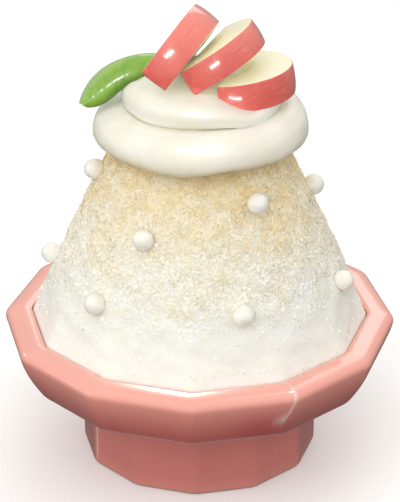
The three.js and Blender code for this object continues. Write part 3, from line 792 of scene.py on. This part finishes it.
def ice():
    """The heap; returns the points of its outer face, their normals and their share of its
    girth as vectors."""
    arc_points, flat_points = 9, 38
    in_bowl = [sided_ring(r, z, arc_points, flat_points) for r, z in cavity_outline(FIT_GAP)[1:]]
    rows = 150
    heights = np.linspace(ICE_BASE_HEIGHT, ICE_TOP_HEIGHT, rows + 1)[1:]
    heap = []
    for z in heights:
        fade = smoothstep(z, ICE_BASE_HEIGHT, ICE_ROUND_HEIGHT)
        ring = rounded(sided_ring(ice_radius(z), z, arc_points, flat_points), fade)
        azimuth = cylindrical(ring)[1]
        heap.append(ring + polar(ice_relief(azimuth, z), azimuth))
    heap = np.array(heap)
    top_radius = ice_radius(ICE_TOP_HEIGHT) - ICE_TOP_ROUND
    top = ICE_TOP_HEIGHT + ICE_TOP_CROWN
    top_ring = rounded(sided_ring(top_radius, top, arc_points, flat_points), 1)
    rings = [*in_bowl, *heap, top_ring]
    points, faces = loft((0, 0, CAVITY_FLOOR + FIT_GAP), rings, (0, 0, top))
    normals = vertex_normals(points, faces)

    first = 1 + len(in_bowl) * heap.shape[1]
    last = first + heap.shape[0] * heap.shape[1]
    outer, out = points[first:last], normals[first:last]
    z = outer[:, 2]
    edge = smoothstep(z, ICE_BASE_HEIGHT, ICE_BASE_HEIGHT + ICE_EDGE)
    edge *= 1 - smoothstep(z, ICE_TOP_HEIGHT - ICE_EDGE, ICE_TOP_HEIGHT)
    grain = ICE_LUMPS["depth"] * noise_at(outer, ICE_LUMPS["size"], 3)
    for depth, size, seed in ICE_PEBBLES:
        grain += depth * (pebbles_at(outer, size, seed) - ICE_PEBBLE_LEVEL)
    coarse = lerp(ICE_SMOOTH_SHARE, 1, smoothstep(z, *ICE_COARSE_HEIGHTS))
    grain = (grain - ICE_RELIEF_DROP) * coarse * lerp(ICE_EDGE_SHARE, 1, edge)
    points[first:last] += out * grain[:, None]
    material = ice_material("packed_ice", CORE_FLECK_SIZE, CORE_LIGHT_DEPTH)
    add_piece("packed_ice", points, faces, [material], ["ice"])
    girth = (np.roll(heap, -1, axis=1) - np.roll(heap, 1, axis=1)).reshape(-1, 3) / 2
    return points[first:last], out, girth


def shards(surface, normals, girth, weights, count, length, width, thickness, tilt, lift):
    """Points and faces of many flat six-cornered flakes, lying about on a surface.

    length, width and thickness are (least, most), tilt is how far they stand off the surface."""
    picks = random.choice(len(surface), count, p=weights / weights.sum())
    up = unit(normals[picks] + tilt * random.normal(size=(count, 3)))
    ahead = unit(np.cross(up, random.normal(size=(count, 3))))
    side = np.cross(up, ahead)
    sizes = [random.uniform(low, high, (count, 1)) / 2 for low, high in (length, width, thickness)]
    middle = surface[picks] + girth[picks] * random.uniform(-0.5, 0.5, (count, 1))
    middle += ahead * random.uniform(-SHARD_SHIFT, SHARD_SHIFT, (count, 1)) + normals[picks] * lift
    half_diagonal = ahead * sizes[0] + side * sizes[1]
    corners = []
    for direction, size in zip((ahead, side, up), sizes):
        for sign in (1, -1):
            wobble = half_diagonal * random.uniform(-SHARD_WOBBLE, SHARD_WOBBLE, (count, 1))
            arm = sign * direction * size * random.uniform(*SHARD_UNEVEN, (count, 1))
            corners.append(middle + arm + wobble)
    points = np.stack(corners, 1).reshape(-1, 3)
    pattern = np.array([
        (0, 2, 4), (2, 1, 4), (1, 3, 4), (3, 0, 4),
        (2, 0, 5), (1, 2, 5), (3, 1, 5), (0, 3, 5),
    ])
    faces = (pattern[None] + 6 * np.arange(count)[:, None, None]).reshape(-1, 3)
    return points, faces


def ice_grains(surface, normals, girth):
    """Loose flakes and grains over the heap, none inside a pearl."""
    clear = np.ones(len(surface), bool)
    for spot in PEARL_SPOTS:
        away = np.linalg.norm(surface - pearl_centre(spot), axis=1)
        clear &= away > PEARL_RADIUS + SHARD_PEARL_ROOM
    z = surface[:, 2]
    clear &= (z > SHARD_SPAN[0]) & (z < SHARD_SPAN[1])
    dense = lerp(SHARDS_LOW_DOWN, 1, smoothstep(z, *ICE_COARSE_HEIGHTS))
    weights = clear * dense * np.linalg.norm(girth, axis=1)
    for name, kind in SHARDS.items():
        points, faces = shards(surface, normals, girth, weights, **kind)
        material = ice_material(name, SHARD_FLECK_SIZE)
        piece = add_piece(name, points, faces.tolist(), [material])
        piece.data.shade_flat()


# ---- cream


def step(azimuth, middle, spread):
    """A step down on one side of an azimuth and up on the other, fading out both ways."""
    off = (azimuth - middle + math.pi) % (2 * math.pi) - math.pi
    part = off / spread
    return STEP_SCALE * part * math.exp(-part * part / 2)


def cream_outline(azimuth, steps):
    """The cream's outline at an azimuth, from the middle of its underside to its top."""
    right = math.sin(azimuth)
    seam = SEAM_STEP * step(azimuth, SEAM_AZIMUTH, SEAM_SPREAD)
    climb = CLIMB_STEP * step(azimuth, CLIMB_AZIMUTH, CLIMB_SPREAD)
    sway = sum(depth * math.sin(waves * azimuth + phase) for depth, waves, phase in SWAY)
    side = UPPER_TURN_SHIFT * right
    lower_lift = LOWER_TURN_LEAN * right + seam
    upper_lift = UPPER_TURN_LEAN * right + climb / 2

    rest = (ice_radius(ICE_TOP_HEIGHT) - ICE_TOP_ROUND, CREAM_BOTTOM)
    lip = (LOWER_TURN_LIP, CREAM_BOTTOM + lower_lift)
    outer = LOWER_TURN_RADIUS + LOWER_TURN_SHIFT * right + sway
    widest = (outer, LOWER_TURN_WIDEST + lower_lift)
    crease_height = CREASE_HEIGHT + upper_lift + sway / 2
    valley = (CREASE_RADIUS + side, crease_height)
    lower_side = (outer, crease_height - LOWER_TURN_SIDE)
    lower_top = ((outer + valley[0]) / 2 + LOWER_TURN_TOP, crease_height)
    upper = UPPER_TURN_RADIUS + side + sway / 2
    bulge = (upper, UPPER_TURN_WIDEST + upper_lift)
    upper_side = (upper, SHOULDER_HEIGHT - SHOULDER_ROUND + climb / 2)
    brow = (SHOULDER_RADIUS + side, SHOULDER_HEIGHT + climb / 3)
    return np.vstack([
        [(0, CREAM_BOTTOM)],
        line((0, CREAM_BOTTOM), rest, CREAM_FLAT_STEPS),
        line(rest, lip, CREAM_FLAT_STEPS),
        curve(lip, (outer, lip[1] - LOWER_TURN_SAG), widest, steps=steps),
        curve(widest, lower_side, lower_top, valley, steps=2 * steps),
        curve(valley, (upper, crease_height + CREASE_RISE), bulge, steps=steps),
        curve(bulge, upper_side, brow, steps=steps),
        curve(brow, (brow[0] / 2, CREAM_TOP - CREAM_TOP_DROP), (0, CREAM_TOP), steps=steps),
    ])


def cream_rise(points):
    """How far the slices have pushed the upper turn up or down at each point."""
    x, y, z = np.moveaxis(points, -1, 0)
    rise = 0
    for spot in (SLICE_BANK, SLICE_HOLLOW):
        far = (x - spot["x"]) ** 2 + (y - spot["y"]) ** 2
        rise = rise + spot["rise"] * np.exp(-far / (2 * spot["spread"] ** 2))
    return rise * smoothstep(z, CREASE_HEIGHT, CREASE_HEIGHT + SLICE_PRESS_DEPTH)


def cream():
    columns, steps = 288, 16
    azimuths = np.arange(columns) / columns * 2 * math.pi
    outlines = np.array([cream_outline(azimuth, steps) for azimuth in azimuths])
    grid = polar(outlines[..., 0], azimuths[:, None], outlines[..., 1]).transpose(1, 0, 2)
    grid[..., 2] += cream_rise(grid)
    points, faces = loft(grid[0, 0], grid[1:-1], grid[-1, 0])
    normals = vertex_normals(points, faces)
    radius, azimuth, z = cylindrical(points)
    clear_of_ice = smoothstep(radius, LOWER_TURN_LIP, LOWER_TURN_LIP + CREAM_LIP_ROOM)
    shown = np.maximum(smoothstep(z - CREAM_BOTTOM, *CREAM_UNDERSIDE), clear_of_ice)
    waver = CREAM_DRAG["waver"] * noise_at(points, CREAM_DRAG["size"], 2, seed=4)
    drag = np.sin(CREAM_DRAG["waves"] * radius + CREAM_DRAG["slant"] * azimuth + waver)
    swell = noise_at(points, CREAM_SWELL["size"], 3, seed=2)
    relief = CREAM_DRAG["depth"] * drag + CREAM_SWELL["depth"] * swell
    points += normals * (relief * shown)[:, None]

    # painted shade under the upper turn's lower curve and along the bottom
    row = (np.arange(len(points)) + columns - 1) // columns
    over_crease = row - (2 * CREAM_FLAT_STEPS + 3 * steps)
    in_crease = (over_crease > 0) * (1 - smoothstep(over_crease / steps, *CREAM_SHADE_CREASE))
    at_bottom = 1 - smoothstep(points[:, 2] - CREAM_BOTTOM, 0, CREAM_SHADE_BOTTOM)
    add_piece("piped_cream", points, faces, [cream_material()], ["cream"],
              values={"painted_shade": CREAM_PAINTED_SHADE * np.maximum(in_crease, at_bottom)})


# ---- apple slices


def core_dip(along, out):
    reach = np.hypot(along / CORE_HALF_LENGTH, out / CORE_REACH)
    return CORE_DEPTH * (1 - smoothstep(reach, CORE_FLAT, 1))


def half_moon(thickness):
    """A slice in its own frame: straight side along X, arc towards +Y, thick along Z.

    Returns its points, its faces and which faces are skin."""
    half = thickness / 2
    arc_steps, side_steps = 80, 36
    angles = np.arange(arc_steps) / arc_steps * math.pi

    def outline(radius):
        arc = np.stack([radius * np.cos(angles), radius * np.sin(angles)], -1)
        side = np.linspace(-radius, radius, side_steps, endpoint=False)
        return np.vstack([arc, np.stack([side, np.zeros(side_steps)], -1)])

    def face(scale, sign):
        flat = outline(SLICE_RADIUS - SLICE_EDGE_ROUND)
        along = flat[:, 0] * scale
        out = lerp(CORE_REACH / 2, flat[:, 1], scale)
        level = sign * (half - core_dip(along, out))
        return np.stack([along, out, level], -1)

    def ring(radius, level):
        flat = outline(radius)
        return np.column_stack([flat, np.full(len(flat), level)])

    def shoulder(sign):
        """The rounded edge between a face and the skin."""
        return [
            ring(SLICE_RADIUS - SLICE_EDGE_ROUND * (1 - math.cos(turn)),
                 sign * (half - SLICE_EDGE_ROUND * (1 - math.sin(turn))))
            for turn in np.radians([60, 30])
        ]

    def skin(part):
        """The skin's ring at a part of its height: 0 halfway, 1 at a face."""
        bulge = SLICE_SKIN_BULGE * (1 - part * part)
        return ring(SLICE_RADIUS + bulge, part * (half - SLICE_EDGE_ROUND))

    scales = np.linspace(0.04, 1, 22)
    under = [face(scale, -1) for scale in scales]
    over = [face(scale, 1) for scale in scales[::-1]]
    side = [skin(part) for part in np.linspace(-1, 1, 15)]
    band = [*shoulder(-1), *side, *shoulder(1)[::-1]]
    rings = [*under, *band, *over]
    dip = float(core_dip(0, CORE_REACH / 2))
    points, faces = loft((0, CORE_REACH / 2, -(half - dip)), rings, (0, CORE_REACH / 2, half - dip))
    columns = arc_steps + side_steps
    row, column = np.divmod(np.arange(columns * (len(rings) - 1)), columns)
    on_band = (row >= len(under)) & (row < len(under) + len(band) - 1)
    fan = np.zeros(columns, bool)
    is_skin = np.concatenate([fan, on_band & (column < arc_steps), fan])
    return points, faces, is_skin


def slice_axes(heading, tilt, roll):
    """The directions of a slice's own X, Y and Z."""
    heading, tilt, roll = (math.radians(angle) for angle in (heading, tilt, roll))
    along = np.array([
        math.cos(tilt) * math.sin(heading),
        math.cos(tilt) * math.cos(heading),
        math.sin(tilt),
    ])
    level = unit(np.cross(along, (0, 0, 1)))
    raised = np.cross(level, along)
    bulge = level * math.cos(roll) + raised * math.sin(roll)
    return np.array([along, bulge, np.cross(along, bulge)])


def apple_slices():
    materials = [flesh_material(), skin_material()]
    for number, place in enumerate(SLICES, 1):
        points, faces, is_skin = half_moon(place["thickness"])
        normals = vertex_normals(points, faces)
        uneven = SLICE_UNEVEN * noise_at(points, SLICE_UNEVEN_SIZE, seed=number)
        points += normals * uneven[:, None]
        axes = slice_axes(place["heading"], place["tilt"], place["roll"])
        placed = points @ axes + place["middle"]
        piece = add_piece(f"apple_wedge_{number}", placed, faces, materials,
                          [f"apple_slice_{number}"], values={"slice_place": points * MM})
        piece.data.polygons.foreach_set("material_index", is_skin.astype(np.int32))


# ---- leaf


def leaf_frame(part):
    """The rib's point and the leaf's directions there, at a part 0 to 1 of its length."""
    layer = [np.array(point, float) for point in LEAF_RIB]
    while len(layer) > 2:
        layer = [lerp(a, b, part) for a, b in zip(layer, layer[1:])]
    tangent = unit(layer[1] - layer[0])
    front = unit(np.cross((0, 0, 1), tangent))
    return lerp(*layer, part), front, np.cross(tangent, front)


def leaf_breadth(part):
    """The leaf's width at a part of its length, as a share of the most."""
    along = lerp(LEAF_END_TRIM, 1 - LEAF_END_TRIM, part)
    if along < LEAF_WIDEST:
        room, roundness = LEAF_WIDEST, LEAF_STALK_ROUND
    else:
        room, roundness = 1 - LEAF_WIDEST, LEAF_TIP_ROUND
    return math.sqrt(1 - (abs(along - LEAF_WIDEST) / room) ** roundness)


def leaf_point(part, across):
    """One point of the leaf's mid-surface: across runs from -1, the back edge, to 1, the front."""
    point, front, up = leaf_frame(part)
    is_front = across > 0
    if is_front:
        twist, width, slopes = 0, LEAF_FRONT_WIDTH, LEAF_FRONT_SLOPE
    else:
        twist = LEAF_BACK_TWIST * part + LEAF_BACK_WAVE * math.sin(2 * math.pi * part)
        width, slopes = LEAF_BACK_WIDTH, LEAF_BACK_SLOPE
    width *= leaf_breadth(part)
    steps = 8
    stride = width * abs(across) / steps
    for k in range(steps):
        share = (k + 0.5) / steps * abs(across)
        slope = math.radians(lerp(*slopes, share) + twist)
        point = point + front * (math.copysign(1, across) * stride * math.cos(slope))
        point = point - up * (stride * math.sin(slope))
    return point


def leaf():
    rows, columns = 96, 65
    parts = (1 - np.cos(math.pi * np.linspace(0, 1, rows))) / 2
    acrosses = np.linspace(-1, 1, columns)
    middle = np.array([[leaf_point(part, across) for across in acrosses] for part in parts])
    along = np.gradient(middle, axis=0)
    sideways = np.gradient(middle, axis=1)
    out = unit(np.cross(along, sideways))
    part_grid, across_grid = np.meshgrid(parts, acrosses, indexing="ij")
    reach = np.abs(across_grid)
    rib = np.exp(-(reach / LEAF_RIB_WIDTH) ** 2)
    run = (part_grid - LEAF_VEIN_SLANT * reach ** LEAF_VEIN_CURVE) * LEAF_VEINS
    side_vein = np.exp(-(((run + 0.5) % 1 - 0.5) / LEAF_VEIN_WIDTH) ** 2)
    side_vein *= 1 - smoothstep(reach, *LEAF_VEIN_ENDS)
    vein = np.maximum(rib, LEAF_VEIN_SHARE * side_vein)
    puff = LEAF_PUFF * (1 - side_vein) * (1 - rib) * (1 - reach ** 4)
    half = lerp(*LEAF_HALF_THICKNESS, reach)
    upper = middle + out * (half + puff - LEAF_RIB_DEPTH * rib)[..., None]
    lower = middle - out * (half + LEAF_RIB_KEEL * rib - LEAF_PUFF_UNDER * puff)[..., None]
    rings = [np.vstack([low, up[::-1]]) for low, up in zip(lower, upper)]
    points, faces = loft(rings[0].mean(0), rings, rings[-1].mean(0))
    # veins, a painted sheen on the back half and painted shade along the front edge
    fields = {
        "vein": LEAF_VEIN_TINT * vein,
        "painted_sheen_back": 1 - smoothstep(across_grid, *LEAF_SHEEN_BACK),
        "painted_shade_front": LEAF_SHADE_SHARE * smoothstep(across_grid, *LEAF_SHADE_EDGE),
    }

    def carried(field):
        """The field for the points of both faces and the two poles."""
        return np.concatenate([[0.0], np.hstack([field, field[:, ::-1]]).ravel(), [0.0]])

    add_piece("mint_leaf", points, faces, [leaf_material()], ["leaf"],
              values={name: carried(field) for name, field in fields.items()})


# ---- pearls


def pearls():
    material = pearl_material()
    rows, columns = 28, 44
    azimuths = np.arange(columns) / columns * 2 * math.pi
    tilts = np.linspace(0, math.pi, rows + 1)[1:-1]
    rings = [polar(math.sin(tilt), azimuths, -math.cos(tilt)) for tilt in tilts]
    ball, faces = loft((0, 0, -1), rings, (0, 0, 1))
    for number, spot in enumerate(PEARL_SPOTS, 1):
        dents = PEARL_DENT * noise_at(ball, PEARL_DENT_SIZE, 2, seed=20 + number)
        points = ball * (PEARL_RADIUS * (PEARL_SCALE + dents))[:, None] + pearl_centre(spot)
        add_piece(f"dough_pearl_{number}", points, faces, [material], [f"pearl_{number}"])


# ---- floor, light and camera


def floor():
    corners = np.array([(-1, -1, 0), (1, -1, 0), (1, 1, 0), (-1, 1, 0)]) * FLOOR_REACH
    mesh = bpy.data.meshes.new("floor")
    mesh.from_pydata(corners.tolist(), [], [(0, 1, 2, 3)])
    paint = Paint("pale_floor", roughness=0.9, emission_strength=FLOOR_GLOW)
    paint.shader.inputs["Emission Color"].default_value = (1, 1, 1, 1)
    paint.link(paint.mix(paint.noise(300), (249, 248, 246), (251, 250, 248)), "Base Color")
    mesh.materials.append(paint.material)
    piece = add_object("floor", mesh)
    piece.visible_diffuse = piece.visible_glossy = False


def toward(azimuth, elevation):
    """The direction of an azimuth and an elevation in degrees."""
    azimuth, elevation = math.radians(azimuth), math.radians(elevation)
    level = math.cos(elevation)
    return Vector((math.sin(azimuth) * level, -math.cos(azimuth) * level, math.sin(elevation)))


def softbox(name, azimuth, elevation, distance, size, watts, turn=0, shines_on=None,
            target=LIGHT_TARGET, sheen=True):
    """An area light that faces a target in millimetres and is turned about its own axis.

    One that shines on a named piece gives it a highlight and does nothing else, and only that
    piece can stand in its way. One without sheen lights without a highlight of its own."""
    back = toward(azimuth, elevation)
    data = bpy.data.lights.new(name, "AREA")
    data.energy = watts
    data.shape = "RECTANGLE"
    data.size, data.size_y = size
    light = add_object(name, data)
    light.location = Vector(target) * MM + back * distance
    facing = back.to_track_quat("Z", "Y") @ Quaternion((0, 0, 1), math.radians(turn))
    light.rotation_euler = facing.to_euler()
    light.visible_camera = False
    light.visible_glossy = sheen
    if shines_on:
        light.visible_diffuse = light.visible_transmission = False
        receivers = bpy.data.collections.new(name)
        receivers.objects.link(bpy.data.objects[shines_on])
        light.light_linking.receiver_collection = receivers
        light.light_linking.blocker_collection = receivers


def light():
    world = bpy.data.worlds.new("studio")
    world.use_nodes = True
    tree = world.node_tree
    background = tree.nodes["Background"]
    place = tree.nodes.new("ShaderNodeTexCoord")
    split = tree.nodes.new("ShaderNodeSeparateXYZ")
    ramp = tree.nodes.new("ShaderNodeMapRange")
    for socket, value in SKY_RAMP.items():
        ramp.inputs[socket].default_value = value
    tree.links.new(place.outputs["Generated"], split.inputs[0])
    tree.links.new(split.outputs["Z"], ramp.inputs["Value"])
    tree.links.new(ramp.outputs["Result"], background.inputs["Strength"])
    background.inputs["Color"].default_value = SKY_COLOUR
    bpy.context.scene.world = world
    softbox("key", -20, 44, 1.2, (0.9, 0.9), 3.0, sheen=False)
    softbox("low_fill", -14, 9, 1.3, (0.8, 0.6), 4.2, sheen=False)
    softbox("left_fill", -75, 18, 1.4, (0.8, 0.8), 2.7)
    softbox("right_fill", 80, 20, 1.4, (0.8, 0.8), 3.0, sheen=False)
    softbox("back_fill", 170, 35, 1.4, (0.8, 0.8), 3.4)
    softbox("glint_1", -8, 31, 1.2, (0.42, 0.10), 3.0, turn=52, shines_on="apple_wedge_1")
    softbox("glint_2", 10, 15, 1.2, (0.42, 0.10), 3.0, turn=32, shines_on="apple_wedge_2")
    softbox("glint_3", -4, -7, 0.6, (0.25, 0.03), 0.6, shines_on="apple_wedge_3")
    softbox("glint_leaf", -26, 28, 1.2, (0.26, 0.1), 5, turn=30, shines_on="mint_leaf")
    softbox("cream_sheen", -7, 62, 1.2, (0.4, 0.3), 14, shines_on="piped_cream")
    softbox("rim_glint", 181, 31, 0.15, (0.026, 0.005), 0.10, shines_on="glazed_bowl",
            target=(-9, -68.5, RIM_TOP))
    softbox("corner_glint", 140, 62, 1.1, (0.1, 0.1), 2.2, shines_on="glazed_bowl")
    softbox("left_glint", -123, 25, 1.1, (0.1, 0.1), 1.2, shines_on="glazed_bowl")


def camera():
    """The photograph's viewpoint: straight at the front, from a little above."""
    back = toward(0, CAMERA["elevation"])
    data = bpy.data.cameras.new("camera")
    data.sensor_fit = "VERTICAL"
    data.sensor_height = data.sensor_width
    data.lens = CAMERA["focal_pixels"] / CAMERA["picture_height"] * data.sensor_height
    data.clip_start, data.clip_end = CAMERA["clip"]
    view = add_object("camera", data)
    view.location = (Vector(CAMERA["target"]) + back * CAMERA["distance"]) * MM
    view.rotation_euler = back.to_track_quat("Z", "Y").to_euler()
    bpy.context.scene.camera = view


# ---- the scene

bpy.context.scene.view_settings.view_transform = "Standard"
camera()
floor()
bowl()
ice_grains(*ice())
cream()
apple_slices()
leaf()
pearls()
light()

bpy.context.view_layer.update()
